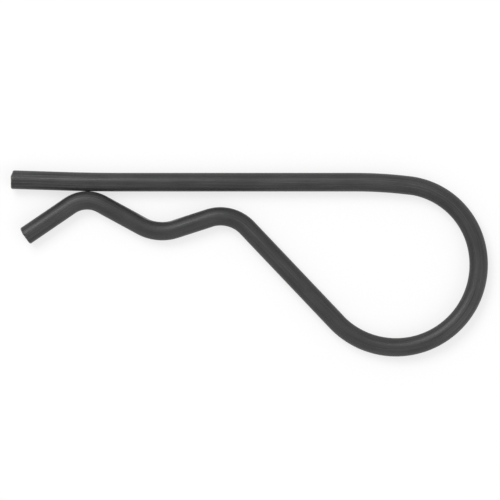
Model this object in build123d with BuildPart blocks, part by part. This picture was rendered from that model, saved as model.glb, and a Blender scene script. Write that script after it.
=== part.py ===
from build123d import *
import os

# Hitch R clip: one length of round spring wire, bent in one plane and lying flat.
# The origin is where the axis of the locked shaft crosses the axis of the straight leg.
# +X runs along the straight leg to the loop, +Y from the wavy leg to the straight leg, and
# +Z along the shaft. The middle of the wire lies in the XY plane.

# Driving dimensions, in millimetres and degrees. The radius of a bend is that of the
# pin that it is formed round, which is the inside of the bent wire.

wire_diameter = 3.0
shaft_diameter = 12.7  # half-inch hitch pin, with a cross hole for the straight leg

# Straight leg: straight run to the loop, slow outward bow beyond the shaft, straight nose.
run_length = 30.85  # from the shaft's axis to the first bend of the loop
bow_pin_radius = 296.0
nose_lift = 1.8
nose_length = 8.6
nose_rounding = 0.3

# Loop: slow entry from the straight leg, tighter shoulder, round end.
entry_pin_radius = 72.0
entry_angle = 6.9
shoulder_pin_radius = 11.1
shoulder_angle = 65.5
loop_pin_radius = 11.75

# Wavy leg: neck, seat for the shaft, grip against the straight leg, flared tip.
neck_pin_radius = 4.5
neck_throat = 2.5  # open height between the straight leg and the neck
neck_standoff = 3.0  # from the shaft's side to the middle of the neck's bend
seat_nip = 0.9  # how much tighter than the shaft the seat is bent, so that its flanks grip
grip_pin_radius = 3.5
grip_standoff = 5.55  # from the shaft's side to the grip, along the straight leg
grip_gap = 0.05  # hair's breadth where the grip bears on the straight leg
flare_angle = 34.3
flare_length = 8.75
flare_rounding = 0.3

# Sizes that follow from them. Each bend radius is to the middle of the wire.

wire_radius = wire_diameter / 2
shaft_radius = shaft_diameter / 2
bow_radius = bow_pin_radius + wire_radius
entry_radius = entry_pin_radius + wire_radius
shoulder_radius = shoulder_pin_radius + wire_radius
loop_radius = loop_pin_radius + wire_radius
neck_radius = neck_pin_radius + wire_radius
seat_radius = shaft_radius - seat_nip + wire_radius
grip_radius = grip_pin_radius + wire_radius


def bend_circle(center, radius):
    """The whole circle of a bend, which the straight wire on both sides of it touches."""
    return CenterArc(center, radius, start_angle=0, arc_size=360, mode=Mode.PRIVATE)


with BuildPart() as clip_wire:
    with BuildLine():
        # The straight leg, from the loop outwards. It bows away where it leaves the shaft,
        # so that its nose stands clear of the wavy leg and enters the cross hole first.
        run = Line((run_length, 0), (-shaft_radius, 0))
        bow = JernArc(run @ 1, run % 1, bow_radius, -nose_lift)
        nose = Line(bow @ 1, bow @ 1 + nose_length * (bow % 1))

        # The loop, from the straight leg to where its round end begins.
        entry = JernArc(run @ 0, -(run % 0), entry_radius, -entry_angle)
        shoulder = JernArc(entry @ 1, entry % 1, shoulder_radius, -shoulder_angle)
        loop_center = shoulder @ 1 + loop_radius * (shoulder % 1).rotate(Axis.Z, -90)

        # The bends of the wavy leg. The neck hangs under the straight leg, the seat's floor
        # touches the far side of the shaft, and the grip bears on the bowed leg.
        neck_center = (shaft_radius + neck_standoff, -wire_diameter - neck_throat - neck_radius)
        seat_center = (0, -seat_nip)
        leg_end = Wire([bow, nose])
        grip_point = leg_end.position_at(grip_standoff, position_mode=PositionMode.LENGTH)
        leg_heading = leg_end.tangent_at(grip_standoff, position_mode=PositionMode.LENGTH)
        grip_offset = wire_diameter + grip_gap + grip_radius
        grip_center = grip_point + grip_offset * leg_heading.rotate(Axis.Z, 90)

        # The straight wire between the bends, which turn right and left by turns. A bend
        # that turns right lies outside its tangent, and one that turns left lies within it.
        right = Tangency.OUTSIDE
        left = Tangency.ENCLOSING
        loop_circle = bend_circle(loop_center, loop_radius)
        neck_circle = bend_circle(neck_center, neck_radius)
        seat_circle = bend_circle(seat_center, seat_radius)
        grip_circle = bend_circle(grip_center, grip_radius)
        diagonal = ConstrainedLines((loop_circle, right), (neck_circle, left)).edge()
        neck_flank = ConstrainedLines((neck_circle, left), (seat_circle, right)).edge()
        grip_flank = ConstrainedLines((seat_circle, right), (grip_circle, left)).edge()

        # The bends themselves, and the flared tip.
        TangentArc(shoulder @ 1, diagonal @ 0, tangent=shoulder % 1)
        TangentArc(diagonal @ 1, neck_flank @ 0, tangent=diagonal % 1)
        TangentArc(neck_flank @ 1, grip_flank @ 0, tangent=neck_flank % 1)
        grip_turn = flare_angle + (grip_flank % 1).get_signed_angle(Vector(-1, 0), Vector(0, 0, 1))
        grip = JernArc(grip_flank @ 1, grip_flank % 1, grip_radius, grip_turn)
        flare = Line(grip @ 1, grip @ 1 + flare_length * (grip % 1))

    with BuildSketch(Plane(nose @ 1, z_dir=nose % 1)):
        Circle(wire_radius)
    sweep()

    # The cut ends have their edges broken.
    cut_ends = clip_wire.faces().filter_by(GeomType.PLANE).sort_by(Axis.Y)
    fillet(cut_ends[-1].edges(), nose_rounding)
    fillet(cut_ends[0].edges(), flare_rounding)

clip_wire.part.label = "clip_wire"

os.makedirs("parts", exist_ok=True)
export_step(clip_wire.part, "parts/clip_wire.step")
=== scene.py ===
"""Looks of a hitch R clip: one length of round spring wire, bent in one plane and lying flat.

The wire is worked out again here as one closed surface round the middle line that its solid
has, so that it can have sheared cut ends, the flats that the forming pins leave, and the
coordinates of the straight wire, which the drawing streaks follow round the bends.

All lengths are in metres, in the solid's own frame: the origin is where the axis of the
locked shaft crosses the axis of the straight leg, +X runs along the straight leg to the loop,
+Y from the wavy leg to the straight leg, and +Z along the shaft.
"""

import logging
import math
from dataclasses import dataclass, field
from enum import Enum

import bpy
import numpy as np
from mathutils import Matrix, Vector


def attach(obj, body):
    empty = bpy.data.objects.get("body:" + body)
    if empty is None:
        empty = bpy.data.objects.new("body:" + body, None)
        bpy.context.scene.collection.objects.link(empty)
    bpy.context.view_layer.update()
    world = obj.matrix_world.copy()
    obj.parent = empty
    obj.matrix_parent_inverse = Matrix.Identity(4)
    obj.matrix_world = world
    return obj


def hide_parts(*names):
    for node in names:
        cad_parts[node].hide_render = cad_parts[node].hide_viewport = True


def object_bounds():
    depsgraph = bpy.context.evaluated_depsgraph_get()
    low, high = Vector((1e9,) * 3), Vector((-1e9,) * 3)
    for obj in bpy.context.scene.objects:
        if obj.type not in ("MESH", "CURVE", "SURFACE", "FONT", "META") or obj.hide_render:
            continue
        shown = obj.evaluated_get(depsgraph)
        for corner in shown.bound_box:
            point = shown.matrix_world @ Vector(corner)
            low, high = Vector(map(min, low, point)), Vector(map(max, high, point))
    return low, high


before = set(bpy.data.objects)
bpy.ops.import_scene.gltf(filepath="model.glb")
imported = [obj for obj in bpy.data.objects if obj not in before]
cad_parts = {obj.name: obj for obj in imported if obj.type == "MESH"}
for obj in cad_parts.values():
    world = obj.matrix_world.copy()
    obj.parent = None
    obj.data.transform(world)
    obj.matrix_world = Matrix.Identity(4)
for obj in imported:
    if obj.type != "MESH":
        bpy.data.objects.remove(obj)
cad_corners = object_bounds()

logging.basicConfig(level=logging.INFO, format="%(message)s")
log = logging.getLogger("hitch_clip")

Array = np.ndarray
Socket = bpy.types.NodeSocket
Pair = tuple[float, float]
Triple = tuple[float, float, float]
Colour = tuple[float, float, float, float]

MM = 0.001
WHITE: Colour = (1.0, 1.0, 1.0, 1.0)


class Turn(Enum):
    """Which way a bend turns the wire, seen from above and going from the nose to the tip."""

    LEFT = 1.0
    RIGHT = -1.0


class Face(Enum):
    """A side of the wire, by its angle round it in degrees.

    The loop turns right all the way, so the wire's left side faces out of the clip and its
    right side faces the other leg.
    """

    OUT = 0.0
    UP = 90.0
    IN = 180.0
    DOWN = 270.0


class Stretch(Enum):
    """The stretches of the wire, in order from the nose to the tip."""

    NOSE = "nose"
    BOW = "bow"
    RUN = "run"
    ENTRY = "entry"
    SHOULDER = "shoulder"
    LOOP = "loop"
    DIAGONAL = "diagonal"
    NECK = "neck"
    NECK_FLANK = "neck flank"
    SEAT = "seat"
    GRIP_FLANK = "grip flank"
    GRIP = "grip"
    FLARE = "flare"


class Signal(Enum):
    """What the finish follows: three grains of the steel, and four marks, each from 0 to 1.

    The marks say how far the coating is rubbed down, how far the outside of a bend is
    stretched, and how far a cut face is sheared smooth by the blade, or torn beyond it.
    """

    STREAKS = "streaks"
    CRYSTALS = "crystals"
    CLOUDS = "clouds"
    RUBBED = "rubbed"
    STRAINED = "strained"
    SHEARED = "sheared"
    TORN = "torn"


Weights = tuple[tuple[Signal, float], ...]


def direction(heading: float | Array) -> Array:
    """The unit vector of a heading, in radians from +X: its cosine and its sine."""
    return np.stack([np.cos(heading), np.sin(heading)], axis=-1)


def side(heading: float | Array) -> Array:
    """The unit vector to the left of a heading: that heading turned by a quarter."""
    return direction(heading + math.pi / 2)


def smooth_step(value: Array, start: float, end: float) -> Array:
    """A soft rise from 0 at the start to 1 at the end: three t squared less two t cubed."""
    t = np.clip((value - start) / (end - start), 0.0, 1.0)
    return t * t * (3.0 - 2.0 * t)


def link(piece: bpy.types.Object) -> bpy.types.Object:
    """Links a new object to the scene."""
    bpy.context.scene.collection.objects.link(piece)
    return piece


@dataclass(frozen=True)
class ClipSizes:
    """The clip's driving sizes, which are those of its solid.

    A bend's radius is that of the pin that it is formed round, which is the inside of the
    bent wire. Angles are in degrees. The grip touches the straight leg here, where the solid
    keeps the two 0.05 mm apart.
    """

    wire_diameter: float = 3.0 * MM
    shaft_diameter: float = 12.7 * MM

    run_length: float = 30.85 * MM
    bow_pin_radius: float = 296.0 * MM
    nose_lift: float = 1.8
    nose_length: float = 8.6 * MM

    entry_pin_radius: float = 72.0 * MM
    entry_angle: float = 6.9
    shoulder_pin_radius: float = 11.1 * MM
    shoulder_angle: float = 65.5
    loop_pin_radius: float = 11.75 * MM

    neck_pin_radius: float = 4.5 * MM
    neck_throat: float = 2.5 * MM
    neck_standoff: float = 3.0 * MM
    seat_nip: float = 0.9 * MM
    grip_pin_radius: float = 3.5 * MM
    grip_standoff: float = 5.55 * MM
    flare_angle: float = 34.3
    flare_length: float = 8.75 * MM

    @property
    def wire_radius(self) -> float:
        """Half the wire's thickness."""
        return self.wire_diameter / 2

    @property
    def shaft_radius(self) -> float:
        """Half the thickness of the shaft that the clip locks."""
        return self.shaft_diameter / 2

    def bend_radius(self, pin_radius: float) -> float:
        """The radius to the middle of wire that is bent round a pin."""
        return pin_radius + self.wire_radius


@dataclass(frozen=True)
class Bend:
    """A bend: the circle that the middle of the wire follows, and the way it turns."""

    stretch: Stretch
    center: Array
    radius: float
    turn: Turn

    @property
    def reach(self) -> float:
        """The radius, positive where the circle lies to the left of the wire."""
        return self.turn.value * self.radius

    def straight_to(self, other: "Bend") -> Pair:
        """The straight wire that leaves this bend and runs into the next one.

        It touches both circles, so the two centres stand off to its left by their reaches,
        and the offset between them is the difference of the reaches. The straight wire's left
        side is therefore turned from the line of the centres by the arc cosine of that
        difference over their distance.

        Args:
            other: The bend that follows.

        Returns:
            The straight wire's heading and its length.
        """
        apart = other.center - self.center
        distance = math.hypot(*apart)
        offset = other.reach - self.reach
        bearing = math.atan2(apart[1], apart[0])
        heading = bearing + math.acos(offset / distance) - math.pi / 2
        return heading, math.sqrt(distance**2 - offset**2)


@dataclass
class MiddleLine:
    """The middle line of the wire: stretches of one curvature each, end to end.

    Each stretch has a start, a heading there, a length and a curvature, which is its turn for
    a metre of it, positive to the left. The line's end and heading move on with each.
    """

    end: Array
    heading: float
    stretches: list[Stretch] = field(default_factory=list)
    starts: list[Array] = field(default_factory=list)
    headings: list[float] = field(default_factory=list)
    lengths: list[float] = field(default_factory=list)
    curvatures: list[float] = field(default_factory=list)

    def add(self, stretch: Stretch, length: float, curvature: float = 0.0) -> None:
        """Adds a stretch to the end of the line.

        A stretch's chord is its length times the sine of half its turn over that half turn,
        and heads half its turn away from its start.

        Args:
            stretch: Which stretch it is.
            length: How long it is.
            curvature: Its turn for a metre of it.
        """
        self.stretches.append(stretch)
        self.starts.append(self.end)
        self.headings.append(self.heading)
        self.lengths.append(length)
        self.curvatures.append(curvature)
        half = curvature * length / 2
        self.end = self.end + length * np.sinc(half / math.pi) * direction(self.heading + half)
        self.heading += 2 * half

    def bend(self, stretch: Stretch, radius: float, degrees: float, turn: Turn) -> None:
        """Adds a bend of a stated angle."""
        self.add(stretch, radius * math.radians(degrees), turn.value / radius)

    def bend_to(self, stretch: Stretch, radius: float, heading: float, turn: Turn) -> None:
        """Adds a bend that ends at a stated heading."""
        turned = (turn.value * (heading - self.heading)) % (2 * math.pi)
        self.add(stretch, radius * turned, turn.value / radius)

    @property
    def length(self) -> float:
        """The length of the whole line."""
        return sum(self.lengths)

    def at(self, stretch: Stretch, share: float) -> float:
        """How far along the line a share of a stretch is, from 0 at its start to 1 at its end."""
        index = self.stretches.index(stretch)
        return sum(self.lengths[:index]) + share * self.lengths[index]

    def place(self, along: Array) -> tuple[Array, Array, Array]:
        """Reads the line at many places, each by the chord of its own stretch.

        Args:
            along: Lengths from the start of the line. The end stretches run on past it.

        Returns:
            The points, the headings and the curvatures there.
        """
        begins = np.concatenate([[0.0], np.cumsum(self.lengths)[:-1]])
        which = np.maximum(np.searchsorted(begins, along, side="right") - 1, 0)
        into = along - begins[which]
        curvature = np.array(self.curvatures)[which]
        half = curvature * into / 2
        heading = np.array(self.headings)[which]
        chord = (into * np.sinc(half / math.pi))[..., None] * direction(heading + half)
        return np.array(self.starts)[which] + chord, heading + 2 * half, curvature


def clip_middle_line(sizes: ClipSizes) -> MiddleLine:
    """The middle line of the clip, from the nose of the straight leg to the flared tip.

    Args:
        sizes: The clip's driving sizes.

    Returns:
        The line, which lies in the plane of the clip.
    """
    # The straight leg is first laid out from the shaft outwards, to place its nose and grip.
    outward = MiddleLine(np.array([-sizes.shaft_radius, 0.0]), math.pi)
    bow_radius = sizes.bend_radius(sizes.bow_pin_radius)
    outward.bend(Stretch.BOW, bow_radius, sizes.nose_lift, Turn.RIGHT)
    outward.add(Stretch.NOSE, sizes.nose_length)
    bearing_point, bearing_heading, _ = outward.place(np.array(sizes.grip_standoff))

    line = MiddleLine(outward.end, outward.heading + math.pi)
    line.add(Stretch.NOSE, sizes.nose_length)
    line.bend(Stretch.BOW, bow_radius, sizes.nose_lift, Turn.LEFT)
    line.add(Stretch.RUN, sizes.shaft_radius + sizes.run_length)
    entry_radius = sizes.bend_radius(sizes.entry_pin_radius)
    line.bend(Stretch.ENTRY, entry_radius, sizes.entry_angle, Turn.RIGHT)
    shoulder_radius = sizes.bend_radius(sizes.shoulder_pin_radius)
    line.bend(Stretch.SHOULDER, shoulder_radius, sizes.shoulder_angle, Turn.RIGHT)

    # The loop's end follows the shoulder. The neck hangs under the straight leg, the seat's
    # floor touches the far side of the shaft, and the grip bears on the bowed leg.
    loop_radius = sizes.bend_radius(sizes.loop_pin_radius)
    neck_radius = sizes.bend_radius(sizes.neck_pin_radius)
    seat_radius = sizes.bend_radius(sizes.shaft_radius - sizes.seat_nip)
    grip_radius = sizes.bend_radius(sizes.grip_pin_radius)
    loop_center = line.end - loop_radius * side(line.heading)
    neck_side = sizes.shaft_radius + sizes.neck_standoff
    neck_drop = sizes.wire_diameter + sizes.neck_throat + neck_radius
    neck_center = np.array([neck_side, -neck_drop])
    seat_center = np.array([0.0, -sizes.seat_nip])
    grip_drop = sizes.wire_diameter + grip_radius
    grip_center = bearing_point + grip_drop * side(bearing_heading)
    bends = [
        Bend(Stretch.LOOP, loop_center, loop_radius, Turn.RIGHT),
        Bend(Stretch.NECK, neck_center, neck_radius, Turn.LEFT),
        Bend(Stretch.SEAT, seat_center, seat_radius, Turn.RIGHT),
        Bend(Stretch.GRIP, grip_center, grip_radius, Turn.LEFT),
    ]
    straights = [Stretch.DIAGONAL, Stretch.NECK_FLANK, Stretch.GRIP_FLANK]
    for bend, following, straight in zip(bends, bends[1:], straights):
        heading, length = bend.straight_to(following)
        line.bend_to(bend.stretch, bend.radius, heading, bend.turn)
        line.add(straight, length)
    flare_heading = math.pi + math.radians(sizes.flare_angle)
    line.bend_to(Stretch.GRIP, grip_radius, flare_heading, Turn.LEFT)
    line.add(Stretch.FLARE, sizes.flare_length)
    return line


@dataclass(frozen=True)
class Grain:
    """A grain of the steel or its coating, as a noise in the straight wire.

    Its size is given along the wire, to its left and above it, and its height as a share of
    the finish's relief. The detail says how many times a finer grain is added, and the falloff
    how strong each is, as a share of the last.
    """

    size: Triple
    detail: float
    height: float = 0.0
    falloff: float = 0.55


class NodeBench:
    """Lays out shader nodes: each value is a number, a colour, or another node's output."""

    def __init__(self, owner: bpy.types.Material | bpy.types.World) -> None:
        """Clears the owner's nodes.

        Args:
            owner: What the nodes belong to.
        """
        owner.use_nodes = True
        self.tree = owner.node_tree
        self.tree.nodes.clear()

    def add(
        self, kind: str, values: dict[str | int, object] | None = None, **settings: object
    ) -> bpy.types.Node:
        """Adds a node.

        Args:
            kind: The node's type, without the word ShaderNode.
            values: What each input gets, by its name, or its number where names repeat.
            settings: The node's own settings.

        Returns:
            The new node.
        """
        node = self.tree.nodes.new("ShaderNode" + kind)
        for name, value in settings.items():
            setattr(node, name, value)
        for name, value in (values or {}).items():
            if isinstance(value, Socket):
                self.tree.links.new(value, node.inputs[name])
            else:
                node.inputs[name].default_value = value
        return node

    def attribute(self, name: str) -> bpy.types.Node:
        """Reads one of the piece's own attributes."""
        return self.add("Attribute", attribute_name=name, attribute_type="GEOMETRY")

    def math(self, operation: str, *values: Socket | float) -> Socket:
        """One step of arithmetic, by its name in capitals."""
        return self.add("Math", dict(enumerate(values)), operation=operation).outputs["Value"]

    def total(self, *parts: tuple[Socket, float]) -> Socket:
        """Adds values up, each times its own weight.

        Args:
            parts: The values and their weights.

        Returns:
            The sum.
        """
        result: Socket | float = 0.0
        for value, weight in parts:
            result = self.math("MULTIPLY_ADD", value, weight, result)
        return result

    def between(self, share: Socket, low: Socket | float, high: Socket | float) -> Socket:
        """A number that goes from low to high as share goes from 0 to 1."""
        values = {"Value": share, "To Min": low, "To Max": high}
        return self.add("MapRange", values).outputs["Result"]

    def rise(self, value: Socket, start: float, end: float) -> Socket:
        """A soft rise from 0 at the start to 1 at the end."""
        values = {"Value": value, "From Min": start, "From Max": end}
        return self.add("MapRange", values, interpolation_type="SMOOTHSTEP").outputs["Result"]

    def blend(self, share: Socket, first: Socket | Colour, second: Socket | Colour) -> Socket:
        """A colour that goes from first to second as share goes from 0 to 1."""
        # A Mix node's colours are its inputs 6 and 7 and its output 2.
        return self.add("Mix", {0: share, 6: first, 7: second}, data_type="RGBA").outputs[2]

    def noise(self, place: Socket, grain: Grain) -> Socket:
        """A grain's noise.

        Args:
            place: Where it is read, in the straight wire.
            grain: Its size, detail and falloff.

        Returns:
            A number of about 0.3 to 0.7.
        """
        scale = tuple(1.0 / size for size in grain.size)
        placed = self.add("Mapping", {"Vector": place, "Scale": scale}).outputs["Vector"]
        values = {"Vector": placed, "Scale": 1.0, "Detail": grain.detail, "Roughness": grain.falloff}
        return self.add("TexNoise", values).outputs["Fac"]


@dataclass(frozen=True)
class PhosphatedSteel:
    """Drawn spring steel with a dark grey phosphate coating, lightly oiled.

    A pair whose name ends in rise says at what sum something starts, and at what sum it is
    whole. Weights say how much each signal counts in that sum.

    Attributes:
        deep: The coating where its crystals lie deep.
        pale: The coating where they stand pale.
        tone: What the coating's tone follows. It is paler where a bend stretches it.
        tone_rise: The sums between which the tone goes from deep to pale.
        dull_steel: The dullest streaks of the steel, where the coating is rubbed through.
        bright_steel: Its brightest streaks.
        polish: What the steel's streaks follow.
        polish_rise: The sums between which they go from dull to bright.
        thinness: How thin the coating is. The steel shows first along the streaks.
        bare_rise: The sums between which the steel comes through.
        coat_roughness: The coating's roughness, from its glossiest clouds to its dullest.
        coat_finish: What is added to that.
        steel_roughness: The rubbed steel's roughness.
        coat_metal: How much of the steel's own gloss the coating lets through.
        coat_specular: How strong the coating's own gloss is.
        streaks: The drawing streaks, which run along the wire.
        crystals: The coating's crystals.
        clouds: Its slow clouds.
        tear: The grain of a torn face.
        blade_lines: The lines that the blade leaves on a sheared face, which run the way that
            it went, in the plane of the clip.
        relief: The depth of the surface for a height of 1.
        rubbed_height: How high the crystals stand where the steel shows.
    """

    deep: Colour = (0.0255, 0.0255, 0.0255, 1.0)
    pale: Colour = (0.057, 0.057, 0.057, 1.0)
    tone: Weights = (
        (Signal.CRYSTALS, 1.0),
        (Signal.STREAKS, 0.8),
        (Signal.CLOUDS, 0.5),
        (Signal.STRAINED, 0.1),
    )
    tone_rise: Pair = (0.82, 1.5)

    dull_steel: Colour = (0.15, 0.15, 0.15, 1.0)
    bright_steel: Colour = (0.31, 0.31, 0.31, 1.0)
    polish: Weights = ((Signal.STREAKS, 0.5), (Signal.CRYSTALS, 0.5))
    polish_rise: Pair = (0.38, 0.62)
    thinness: Weights = ((Signal.RUBBED, 1.0), (Signal.STREAKS, 1.1), (Signal.CRYSTALS, 0.5))
    bare_rise: Pair = (1.0, 1.75)

    coat_roughness: Pair = (0.36, 0.5)
    coat_finish: Weights = (
        (Signal.SHEARED, -0.1),
        (Signal.RUBBED, -0.06),
        (Signal.STRAINED, 0.05),
        (Signal.TORN, 0.12),
    )
    steel_roughness: float = 0.32
    coat_metal: float = 0.45
    coat_specular: float = 0.35

    streaks: Grain = Grain((14.0 * MM, 0.11 * MM, 0.11 * MM), detail=2.0, height=0.8)
    crystals: Grain = Grain((0.08 * MM, 0.065 * MM, 0.065 * MM), detail=3.0, height=0.6)
    clouds: Grain = Grain((5.0 * MM, 1.8 * MM, 1.8 * MM), detail=2.0)
    tear: Grain = Grain((0.22 * MM, 0.22 * MM, 0.22 * MM), detail=2.0, height=5.0)
    blade_lines: Grain = Grain((2.0 * MM, 1.5 * MM, 0.08 * MM), detail=1.0, height=1.6)
    relief: float = 0.014 * MM
    rubbed_height: float = 0.15

    def make(self) -> bpy.types.Material:
        """Makes the material, from the straight wire's coordinates and the wire's marks.

        Returns:
            The material.
        """
        material = bpy.data.materials.new("phosphated_spring_steel")
        bench = NodeBench(material)
        place = bench.attribute("unbent_place").outputs["Vector"]
        signals = {
            Signal.STREAKS: bench.noise(place, self.streaks),
            Signal.CRYSTALS: bench.noise(place, self.crystals),
            Signal.CLOUDS: bench.noise(place, self.clouds),
        }
        for mark in (Signal.RUBBED, Signal.STRAINED, Signal.SHEARED, Signal.TORN):
            signals[mark] = bench.attribute(mark.value).outputs["Fac"]

        def weighed(weights: Weights) -> Socket:
            """The sum of the signals, each times its own weight."""
            return bench.total(*((signals[signal], weight) for signal, weight in weights))

        tone = bench.rise(weighed(self.tone), *self.tone_rise)
        coating = bench.blend(tone, self.deep, self.pale)
        polish = bench.rise(weighed(self.polish), *self.polish_rise)
        steel = bench.blend(polish, self.dull_steel, self.bright_steel)
        bare = bench.rise(weighed(self.thinness), *self.bare_rise)

        clouded = bench.between(signals[Signal.CLOUDS], *self.coat_roughness)
        coat_roughness = bench.math("ADD", clouded, weighed(self.coat_finish))
        values = {
            "Base Color": bench.blend(bare, coating, steel),
            "Roughness": bench.between(bare, coat_roughness, self.steel_roughness),
            "Metallic": bench.between(bare, self.coat_metal, 1.0),
            "Normal": self.surface(bench, place, signals, bare),
            "Specular IOR Level": self.coat_specular,
        }
        shader = bench.add("BsdfPrincipled", values)
        bench.add("OutputMaterial", {"Surface": shader.outputs["BSDF"]})
        return material

    def surface(
        self, bench: NodeBench, place: Socket, signals: dict[Signal, Socket], bare: Socket
    ) -> Socket:
        """The fine relief: crystals and streaks all over, and the marks of the cut faces.

        Args:
            bench: Where the nodes go.
            place: The place in the straight wire.
            signals: The grains and the marks.
            bare: How far the steel shows, from 0 to 1.

        Returns:
            The shading normal.
        """
        crystal_height = bench.between(bare, self.crystals.height, self.rubbed_height)
        tear = bench.noise(place, self.tear)
        lines = bench.noise(place, self.blade_lines)
        height = bench.total(
            (bench.math("MULTIPLY", signals[Signal.CRYSTALS], crystal_height), 1.0),
            (signals[Signal.STREAKS], self.streaks.height),
            (bench.math("MULTIPLY", tear, signals[Signal.TORN]), self.tear.height),
            (bench.math("MULTIPLY", lines, signals[Signal.SHEARED]), self.blade_lines.height),
        )
        values = {"Height": height, "Distance": self.relief}
        return bench.add("Bump", values).outputs["Normal"]


@dataclass(frozen=True)
class EndCut:
    """How one end of the wire is cut: sheared nearly flat, with an edge that tumbling broke.

    Attributes:
        blade: The side of the wire that the blade met first.
        drag: How far the blade dragged that side of the face back.
        tear: How deep the rest of the face is torn.
        crown: The face's slope where it meets the broken edge, in degrees.
        edge: The radius of the broken edge.
        shine: How far tumbling rubbed the coating down in the middle of the edge, from 0 to 1.
        drag_rise: Where the drag starts and is whole, in wire radii towards the blade.
        drag_fade: How far along the wire the drag fades out.
        tear_rise: Where the tear starts and is whole, in wire radii towards the blade.
        face_rim: How far inside the wire the face's marks are whole, in radii of the edge.
        tear_grain: The share of its depth by which the tear's grain goes up and down.
        tear_waves: The waves of that grain, in radians for a millimetre towards the blade, and
            for one across it.
    """

    blade: Face
    drag: float
    tear: float
    crown: float = 4.0
    edge: float = 0.3 * MM
    shine: float = 0.5
    drag_rise: Pair = (0.3, 0.8)
    drag_fade: float = 1.2 * MM
    tear_rise: Pair = (0.25, -0.15)
    face_rim: float = 1.6
    tear_grain: float = 0.45
    tear_waves: tuple[Pair, ...] = ((9.1, 4.3), (5.3, 11.7), (17.0, 16.2))

    def profile(self, wire_radius: float, crown_rows: int, edge_rows: int) -> tuple[Array, Array]:
        """The end's rows, from the crown of its face to the full wire.

        The crown is part of a sphere that runs smoothly into the round of the edge. At angle a
        from its pole, a point of the sphere lies its radius times one less the cosine of a
        behind the pole, and its radius times the sine of a from the axis. The broken edge
        follows on with its own radius, until it is square to the face.

        Args:
            wire_radius: The wire's radius.
            crown_rows: How many rows the crown has, besides its pole.
            edge_rows: How many rows the broken edge has.

        Returns:
            How far each row lies behind the pole, and its radius.
        """
        slope = math.radians(self.crown)
        inner = wire_radius - self.edge
        sphere = inner / math.sin(slope) + self.edge
        on_crown = np.linspace(0.0, slope, crown_rows + 1)
        on_edge = np.linspace(slope, math.pi / 2, edge_rows + 1)[1:]
        edge_back = (sphere - self.edge) * (1.0 - math.cos(slope)) + self.edge
        crown_back = sphere * (1.0 - np.cos(on_crown))
        back = np.concatenate([crown_back, edge_back - self.edge * np.cos(on_edge)])
        radius = np.concatenate([sphere * np.sin(on_crown), inner + self.edge * np.sin(on_edge)])
        return back, radius

    def relief(
        self, wire_radius: float, radius: Array, around: Array, depth: Array
    ) -> tuple[Array, Array, Array]:
        """How the shears left the face: dragged back by the blade, and torn beyond it.

        The drag rises softly towards the blade and fades out along the wire. The blade sheared
        its own side of the face smooth, and the rest of it tore, within the broken edge. The
        tear's grain is the mean of the sines of its waves, each one radian on from the last.

        Args:
            wire_radius: The wire's radius.
            radius: The radius of each row.
            around: The angle of each column round the wire.
            depth: How far each row lies behind the face.

        Returns:
            How far each point lies behind the plain face, and how far it is sheared and torn
            there, both from 0 to 1.
        """
        turned = around - math.radians(self.blade.value)
        towards = radius[:, None] * np.cos(turned)
        across = radius[:, None] * np.sin(turned)
        fade = smooth_step(depth, self.edge + self.drag_fade, self.edge)[:, None]
        drag = self.drag * smooth_step(towards / wire_radius, *self.drag_rise) * fade

        rim = wire_radius - self.face_rim * self.edge
        on_face = np.where(depth < self.edge, smooth_step(radius, wire_radius, rim), 0.0)[:, None]
        torn = on_face * smooth_step(towards / wire_radius, *self.tear_rise)
        waves = np.array(self.tear_waves) / MM
        phases = towards[..., None] * waves[:, 0] + across[..., None] * waves[:, 1]
        grain = np.sin(phases + np.arange(len(waves))).mean(axis=-1)
        tear = self.tear * torn * (1.0 + self.tear_grain * grain)
        return drag + tear, on_face - torn, torn


@dataclass(frozen=True)
class Wear:
    """An oval on the wire where use rubs the coating down.

    Attributes:
        stretch: The stretch of the wire that its middle is on.
        share: Where its middle is along that stretch, from 0 to 1.
        face: The side of the wire that it is on.
        reach: Half its length along the wire, or infinity if it runs from end to end.
        spread: Half its width round the wire in degrees, or infinity if it goes all round.
        depth: How far the coating is rubbed down in its middle, from 0 to 1.
        core: How far from its middle it is that deep, as a share of the way to its rim.
    """

    stretch: Stretch
    share: float
    face: Face
    reach: float
    spread: float
    depth: float
    core: float = 0.25

    def rub(self, line: MiddleLine, along: Array, around: Array) -> Array:
        """How far it rubs each point of the wire.

        A point's radius in the oval is the hypotenuse of its distance along the wire over the
        reach and its angle round the wire over the spread. The rub falls off softly from the
        core to the rim.

        Args:
            line: The middle line of the wire.
            along: The rows' places along it.
            around: The angle of each column round it.

        Returns:
            A number from 0 to the wear's depth for each point, by row and column.
        """
        far = (along - line.at(self.stretch, self.share)) / self.reach
        turned = around - math.radians(self.face.value)
        angle = ((turned + math.pi) % (2 * math.pi) - math.pi) / math.radians(self.spread)
        return self.depth * smooth_step(np.hypot(far[:, None], angle), 1.0, self.core)


@dataclass
class WireSurface:
    """The wire's surface as a grid: one row for each place along it, one column round it.

    Attributes:
        points: Where each point of the grid is, by row, column and axis.
        unbent: Where it was in the straight wire: along it, to its left and above it.
        run: The distance of each row along the surface, from the nose's pole.
        marks: How strong each mark is at each point, from 0 to 1.
    """

    points: Array
    unbent: Array
    run: Array
    marks: dict[Signal, Array]


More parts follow.
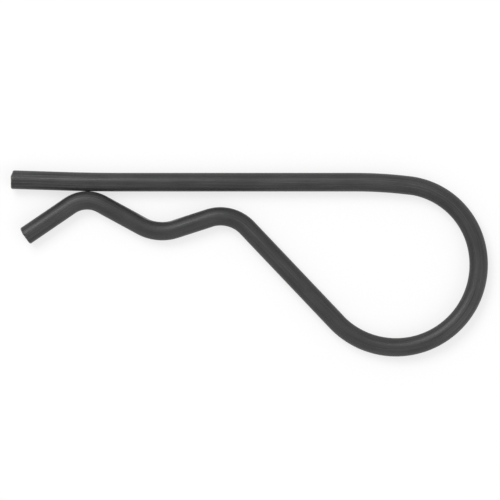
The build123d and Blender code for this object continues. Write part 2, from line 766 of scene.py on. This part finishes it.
@dataclass
class ClipWire:
    """The bent wire, which is the whole clip.

    Attributes:
        sizes: The clip's driving sizes.
        nose_cut: The cut at the straight leg's end.
        tip_cut: The cut at the flared tip's end.
        finish: The steel and its coating.
        wear: Where use rubs the coating down.
        torn_rub: How torn a cut face is where its rub starts, and where its rub is whole.
        columns: How many points there are round the wire.
        row_step: How far apart the rows are along it.
        crown_rows: How many rows each cut face has.
        edge_rows: How many rows each broken edge has.
        pin_mark: How deep a forming pin presses its flat into the inside of a tight bend.
        pin_rim: How soft the rim of that flat is, as a share of its depth.
        tight_radius: A bend of this radius or less has the whole mark.
        slack_radius: A bend of this radius or more has none.
        mark_fade: How far the mark fades out past the bend's ends.
        strain_rise: Where the strain starts and is whole, in wire radii out of the bend.
        strips: How many strips the wire is unrolled into.
        strip_margin: The free end of each strip, as a share of the unrolled square. Each free
            side is twice that share of the strip's height.
    """

    sizes: ClipSizes = field(default_factory=ClipSizes)
    nose_cut: EndCut = EndCut(blade=Face.OUT, drag=0.2 * MM, tear=0.05 * MM)
    tip_cut: EndCut = EndCut(blade=Face.IN, drag=0.06 * MM, tear=0.045 * MM)
    finish: PhosphatedSteel = PhosphatedSteel()
    wear: tuple[Wear, ...] = (
        # The straight leg slides through the shaft's cross hole, all round it.
        Wear(Stretch.BOW, 0.0, Face.IN, reach=24.0 * MM, spread=math.inf, depth=0.15),
        # The grip bears on the straight leg.
        Wear(Stretch.BOW, 0.41, Face.IN, reach=3.6 * MM, spread=48.0, depth=0.8),
        Wear(Stretch.GRIP, 0.5, Face.IN, reach=4.4 * MM, spread=55.0, depth=0.85),
        # The shaft's side slides along the flare and the flank, and is held at the seat's ends.
        Wear(Stretch.FLARE, 0.2, Face.IN, reach=9.0 * MM, spread=45.0, depth=0.52),
        Wear(Stretch.GRIP_FLANK, 0.55, Face.IN, reach=7.0 * MM, spread=42.0, depth=0.52),
        Wear(Stretch.SEAT, 1.0, Face.IN, reach=3.4 * MM, spread=60.0, depth=0.76),
        Wear(Stretch.SEAT, 0.0, Face.IN, reach=3.4 * MM, spread=60.0, depth=0.7),
        # Fingers polish the outside of the loop, and a bench its two flat sides.
        Wear(Stretch.LOOP, 0.4, Face.OUT, reach=26.0 * MM, spread=160.0, depth=0.15),
        Wear(Stretch.LOOP, 0.0, Face.UP, reach=math.inf, spread=30.0, depth=0.1),
        Wear(Stretch.LOOP, 0.0, Face.DOWN, reach=math.inf, spread=30.0, depth=0.1),
    )
    torn_rub: Pair = (0.5, 0.1)

    columns: int = 72
    row_step: float = 0.2 * MM
    crown_rows: int = 12
    edge_rows: int = 7

    pin_mark: float = 0.035 * MM
    pin_rim: float = 0.3
    tight_radius: float = 15.0 * MM
    slack_radius: float = 30.0 * MM
    mark_fade: float = 1.6 * MM
    strain_rise: Pair = (0.1, 1.0)

    strips: int = 4
    strip_margin: float = 0.012

    def __post_init__(self) -> None:
        """Works out the wire's middle line."""
        self.line = clip_middle_line(self.sizes)

    def rows(self) -> tuple[Array, Array]:
        """Every row of the wire, from the nose's pole to the tip's.

        Returns:
            The rows' places along the wire, and their radii.
        """
        shape = self.sizes.wire_radius, self.crown_rows, self.edge_rows
        nose_back, nose_radius = self.nose_cut.profile(*shape)
        tip_back, tip_radius = self.tip_cut.profile(*shape)
        first, last = nose_back[-1], self.line.length - tip_back[-1]
        between = np.linspace(first, last, math.ceil((last - first) / self.row_step) + 1)[1:-1]
        along = np.concatenate([nose_back, between, (self.line.length - tip_back)[::-1]])
        full = np.full(len(between), self.sizes.wire_radius)
        return along, np.concatenate([nose_radius, full, tip_radius[::-1]])

    def bend_strength(self, along: Array) -> Array:
        """How strongly each row is bent, with the sign of its turn.

        It rises from 0 at the slack radius to 1 at the tight one, and fades out past each
        bend's ends, by a running mean with a raised cosine for its weights.

        Args:
            along: The rows' places along the wire.

        Returns:
            One number for each row, from -1 to 1.
        """
        even = np.arange(0.0, self.line.length, self.row_step)
        curvature = self.line.place(even)[2]
        bent = smooth_step(np.abs(curvature), 1.0 / self.slack_radius, 1.0 / self.tight_radius)
        half_width = math.ceil(self.mark_fade / self.row_step) + 1
        weights = np.hanning(2 * half_width + 1)
        spread = np.convolve(np.sign(curvature) * bent, weights / weights.sum(), "same")
        return np.interp(along, even, spread)

    def section(self, along: Array, radius: Array, around: Array) -> tuple[Array, Array, Array]:
        """The wire's section at each row, round but for the flats that the forming pins leave.

        A point stands to the left of the middle line by its radius times the cosine of its
        angle, and above it by its radius times the sine. What stands further towards a bend's
        centre than the wire's radius less the pin's mark is pressed back. The press is half of
        that excess plus half the root of its square and the rim's, which softens its rim.

        Args:
            along: The rows' places along the wire.
            radius: The radius of each row.
            around: The angle of each column.

        Returns:
            How far each point is to the left of the middle line, how far above it, and how
            far the outside of a bend is strained there, from 0 to 1.
        """
        strength = self.bend_strength(along)
        turn, strong = np.sign(strength)[:, None], np.abs(strength)[:, None]
        leftward = radius[:, None] * np.cos(around)
        upward = radius[:, None] * np.sin(around)
        rim = self.pin_rim * self.pin_mark
        excess = leftward * turn - (self.sizes.wire_radius - self.pin_mark * strong)
        pressed = 0.5 * (excess + np.sqrt(excess**2 + rim**2)) * strong
        strained = strong * smooth_step(-turn * np.cos(around), *self.strain_rise)
        return leftward - turn * pressed, upward, strained

    def rubbing(self, along: Array, around: Array, torn: Array) -> Array:
        """How far the coating is rubbed down, by use and where tumbling broke the edges.

        Across the round of an edge, the rub follows half a wave of a sine.

        Args:
            along: The rows' places along the wire.
            around: The angle of each column.
            torn: How far each point of the cut faces is torn.

        Returns:
            A number from 0 to 1 for each point, by row and column.
        """
        ovals = [wear.rub(self.line, along, around) for wear in self.wear]
        rubbed = np.max(np.stack(ovals), axis=0)
        ends = self.crown_rows + self.edge_rows + 1
        nose_edge, tip_edge = slice(self.crown_rows, ends), slice(-ends, -self.crown_rows)
        round_over = np.sin(np.linspace(0.0, math.pi, self.edge_rows + 1))[:, None]
        for edge, cut in ((nose_edge, self.nose_cut), (tip_edge, self.tip_cut)):
            rubbed[edge] = np.maximum(rubbed[edge], cut.shine * round_over)
        return rubbed * smooth_step(torn, *self.torn_rub)

    def surface(self) -> WireSurface:
        """Works out the whole surface of the wire: its section, carried along its middle line.

        Each point goes back from its row's place by the relief of the cut end near it, and is
        set off from the middle line there by its place in the section.

        Returns:
            The grid, with what the finish needs to know of each point.
        """
        wire_radius = self.sizes.wire_radius
        along, radius = self.rows()
        around = np.linspace(0.0, 2 * math.pi, self.columns, endpoint=False)
        behind_tip = self.line.length - along
        nose, *nose_marks = self.nose_cut.relief(wire_radius, radius, around, along)
        tip, *tip_marks = self.tip_cut.relief(wire_radius, radius, around, behind_tip)
        sheared, torn = np.maximum(nose_marks, tip_marks)
        # The columns meet in one point at each pole.
        stations = along[:, None] + nose - tip
        stations[[0, -1]] = stations[[0, -1]].mean(axis=1, keepdims=True)

        middle, headings, _ = self.line.place(stations)
        leftward, upward, strained = self.section(along, radius, around)
        level = middle + leftward[..., None] * side(headings)
        points = np.concatenate([level, upward[..., None]], axis=-1)
        unbent = np.stack([stations, leftward, upward], axis=-1)
        steps = np.hypot(np.diff(along), np.diff(radius))
        run = np.concatenate([[0.0], np.cumsum(steps)])
        marks = {
            Signal.RUBBED: self.rubbing(along, around, torn),
            Signal.STRAINED: strained,
            Signal.SHEARED: sheared,
            Signal.TORN: torn,
        }
        return WireSurface(points, unbent, run, marks)

    def build(self) -> bpy.types.Object:
        """Makes the wire's mesh: quads between the rows, and a fan at each pole.

        Returns:
            The wire, at the origin, with its attributes and its unrolled map.
        """
        shape = self.surface()
        rows, columns = shape.points.shape[:2]
        inner = np.arange((rows - 2) * columns).reshape(rows - 2, columns)
        nose_pole, tip_pole = inner.size, inner.size + 1
        following = np.roll(inner, -1, axis=1)

        # Going round the wire first and then along it makes each face point outwards.
        quads = np.stack([inner[:-1], following[:-1], following[1:], inner[1:]], axis=-1)
        nose_fan = np.stack([np.full(columns, nose_pole), following[0], inner[0]], axis=-1)
        tip_fan = np.stack([np.full(columns, tip_pole), inner[-1], following[-1]], axis=-1)
        faces = quads.reshape(-1, 4).tolist() + nose_fan.tolist() + tip_fan.tolist()

        def flat(values: Array) -> Array:
            """The grid's values in the order of the mesh's points, poles last."""
            poles = values[[0, -1], 0]
            return np.concatenate([values[1:-1].reshape(inner.size, *values.shape[2:]), poles])

        mesh = bpy.data.meshes.new("bent_wire")
        mesh.from_pydata(flat(shape.points).tolist(), [], faces, shade_flat=False)
        place = mesh.attributes.new("unbent_place", "FLOAT_VECTOR", "POINT")
        place.data.foreach_set("vector", flat(shape.unbent).astype(np.float32).ravel())
        for mark, strength in shape.marks.items():
            attribute = mesh.attributes.new(mark.value, "FLOAT", "POINT")
            attribute.data.foreach_set("value", flat(strength).astype(np.float32))

        self.unroll(mesh, shape.run)
        return link(bpy.data.objects.new("bent_wire", mesh))

    def dress(self, wire: bpy.types.Object) -> None:
        """Gives the wire its finish."""
        wire.data.materials.append(self.finish.make())

    def strip_places(self, run: Array) -> tuple[Array, Array, Array]:
        """Cuts the unrolled wire into equal strips that lie above each other in a square.

        Args:
            run: The distance of each row along the surface.

        Returns:
            The strip of each row of faces, and how far along it the two rows of points lie
            that bound them, as shares of the square.
        """
        share = run / run[-1] * self.strips
        strip = ((share[1:] + share[:-1]) / 2).astype(int)
        begin = share[np.searchsorted(strip, strip)]
        scale = (1.0 - 2 * self.strip_margin) / (share[1:] - begin).max()
        near = self.strip_margin + (share[:-1] - begin) * scale
        far = self.strip_margin + (share[1:] - begin) * scale
        return strip, near, far

    def unroll(self, mesh: bpy.types.Mesh, run: Array) -> None:
        """Writes the unrolled map, with the seam along the wire's left side.

        Args:
            mesh: The wire's mesh, whose quads come first, row by row, and then its two fans.
            run: The distance of each row of the grid along the surface.
        """
        strip, near, far = self.strip_places(run)
        height = 1.0 / self.strips
        usable = height * (1.0 - 4 * self.strip_margin)
        middle = (strip[:, None] + 0.5) * height
        low = middle + (np.arange(self.columns) / self.columns - 0.5) * usable
        high = low + usable / self.columns
        half = (low + high) / 2
        here, there, _ = np.broadcast_arrays(near[:, None], far[:, None], low)

        quads = np.stack([here, low, here, high, there, high, there, low], axis=-1)[1:-1]
        nose_fan = np.stack([here, half, there, high, there, low], axis=-1)[0]
        tip_fan = np.stack([there, half, here, low, here, high], axis=-1)[-1]
        corners = np.concatenate([quads.ravel(), nose_fan.ravel(), tip_fan.ravel()])
        layer = mesh.uv_layers.new(name="OFBake")
        layer.data.foreach_set("uv", corners.astype(np.float32))


def seen_directly(bench: NodeBench) -> Socket:
    """What the camera sees by itself, in a gloss or through glass.

    Args:
        bench: Where the nodes go.

    Returns:
        1 for such a ray, and otherwise 0.
    """
    path = bench.add("LightPath").outputs
    seen = bench.math("MAXIMUM", path["Is Camera Ray"], path["Is Glossy Ray"])
    return bench.math("MAXIMUM", seen, path["Is Transmission Ray"])


@dataclass(frozen=True)
class WhiteSheet:
    """The pale floor: matt white, which shows as plain white away from the clip.

    Attributes:
        paper: The floor's own colour.
        plain: The share of plain white beside the clip, which leaves the rest to its shadow.
        near: How far from the clip's middle the shadow's share starts to go.
        far: How far from it that share is gone.
    """

    paper: Colour = (0.95, 0.95, 0.95, 1.0)
    plain: float = 0.68
    near: float = 0.12
    far: float = 0.5

    def make(self, middle: Triple) -> bpy.types.Material:
        """Makes the material.

        Args:
            middle: The middle of the clip.

        Returns:
            The material.
        """
        material = bpy.data.materials.new("white_sheet")
        bench = NodeBench(material)
        place = bench.add("TexCoord").outputs["Object"]
        ends = {0: place, 1: middle}
        apart = bench.add("VectorMath", ends, operation="DISTANCE").outputs["Value"]
        plain = bench.between(bench.rise(apart, self.near, self.far), self.plain, 1.0)
        share = bench.math("MULTIPLY", seen_directly(bench), plain)
        paper = bench.add("BsdfDiffuse", {"Color": self.paper}).outputs["BSDF"]
        white = bench.add("Emission", {"Color": WHITE, "Strength": 1.0})
        mixed = bench.add("MixShader", {"Fac": share, 1: paper, 2: white.outputs["Emission"]})
        bench.add("OutputMaterial", {"Surface": mixed.outputs["Shader"]})
        return material


@dataclass(frozen=True)
class SoftLamp:
    """A soft box that faces the clip.

    Its azimuth is in degrees from +X, anticlockwise, and its elevation in degrees above the
    floor. Its distance is that from the clip, and its power is in watts.
    """

    name: str
    azimuth: float
    elevation: float
    distance: float
    width: float
    height: float
    power: float

    def build(self, middle: Triple) -> bpy.types.Object:
        """Sets up the lamp.

        Args:
            middle: The point that it faces.

        Returns:
            The lamp.
        """
        azimuth, elevation = math.radians(self.azimuth), math.radians(self.elevation)
        away = Vector((*(math.cos(elevation) * direction(azimuth)), math.sin(elevation)))
        data = bpy.data.lights.new(self.name, "AREA")
        data.shape = "RECTANGLE"
        data.size, data.size_y = self.width, self.height
        data.energy = self.power
        lamp = link(bpy.data.objects.new(self.name, data))
        lamp.location = Vector(middle) + away * self.distance
        lamp.rotation_mode = "QUATERNION"
        lamp.rotation_quaternion = away.to_track_quat("Z", "Y")
        return lamp


@dataclass(frozen=True)
class Studio:
    """The pale floor, the soft light and the camera, which looks straight down at the clip.

    Attributes:
        middle: The point of the clip that is in the middle of the picture.
        view_width: The width of the picture at the clip.
        lens: The camera's focal length, in millimetres.
        sensor: The width of its sensor, in millimetres.
        floor_size: The width of the floor.
        sky: How strongly the white sky lights the clip.
        sheet: The floor's finish.
        lamps: The soft boxes.
    """

    middle: Triple = (14.106 * MM, -10.885 * MM, 0.0)
    view_width: float = 80.25 * MM
    lens: float = 360.0
    sensor: float = 36.0
    floor_size: float = 6.0
    sky: float = 0.6
    sheet: WhiteSheet = WhiteSheet()
    lamps: tuple[SoftLamp, ...] = (
        SoftLamp("key_box", 128.0, 52.0, distance=0.9, width=0.55, height=0.4, power=4.2),
        SoftLamp("fill_box", -35.0, 42.0, distance=1.1, width=0.8, height=0.6, power=2.25),
    )

    def build(self, floor_height: float) -> list[bpy.types.Object]:
        """Builds the floor, the light and the camera.

        Args:
            floor_height: Where the floor's surface is, which is where the clip lies.

        Returns:
            The floor, the lamps and the camera.
        """
        floor = self.build_floor(floor_height)
        lamps = [lamp.build(self.middle) for lamp in self.lamps]
        self.build_sky()
        bpy.context.scene.view_settings.view_transform = "Standard"
        return [floor, *lamps, self.build_camera()]

    def build_floor(self, height: float) -> bpy.types.Object:
        """Lays the floor: one square face.

        Args:
            height: Where its surface is.

        Returns:
            The floor.
        """
        corners = np.array([[-1, -1], [1, -1], [1, 1], [-1, 1]]) * self.floor_size / 2
        points = np.column_stack([corners, np.full(4, height)])
        mesh = bpy.data.meshes.new("floor")
        mesh.from_pydata(points.tolist(), [], [[0, 1, 2, 3]])
        mesh.materials.append(self.sheet.make(self.middle))
        floor = link(bpy.data.objects.new("floor", mesh))
        return floor

    def build_sky(self) -> None:
        """Sets up a sky that is white to look at, and softer as a light."""
        world = bpy.data.worlds.new("studio_sky")
        bpy.context.scene.world = world
        bench = NodeBench(world)
        strength = bench.between(seen_directly(bench), self.sky, 1.0)
        sky = bench.add("Background", {"Color": WHITE, "Strength": strength})
        bench.add("OutputWorld", {"Surface": sky.outputs["Background"]})

    def build_camera(self) -> bpy.types.Object:
        """Hangs the camera over the clip, with the picture's top towards +Y.

        It is as far up as the picture is wide, times the focal length over the sensor.

        Returns:
            The camera.
        """
        data = bpy.data.cameras.new("camera")
        data.sensor_width = self.sensor
        data.lens = self.lens
        camera = link(bpy.data.objects.new("camera", data))
        x, y, z = self.middle
        camera.location = x, y, z + self.view_width * self.lens / self.sensor
        bpy.context.scene.camera = camera
        return camera


def main() -> None:
    """Builds the clip and then the studio, and reports each piece."""
    clip = ClipWire()
    wire = clip.build()
    clip.dress(wire)
    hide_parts("clip_wire")
    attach(wire, "root")
    faces = len(wire.data.polygons)
    log.info("%s: %d faces on %.1f mm of wire", wire.name, faces, clip.line.length / MM)

    for piece in Studio().build(cad_corners[0].z):
        place = ", ".join(f"{coordinate / MM:.0f}" for coordinate in piece.location)
        log.info("%s: %s at %s mm", piece.name, piece.type.lower(), place)


if __name__ == "__main__":
    main()
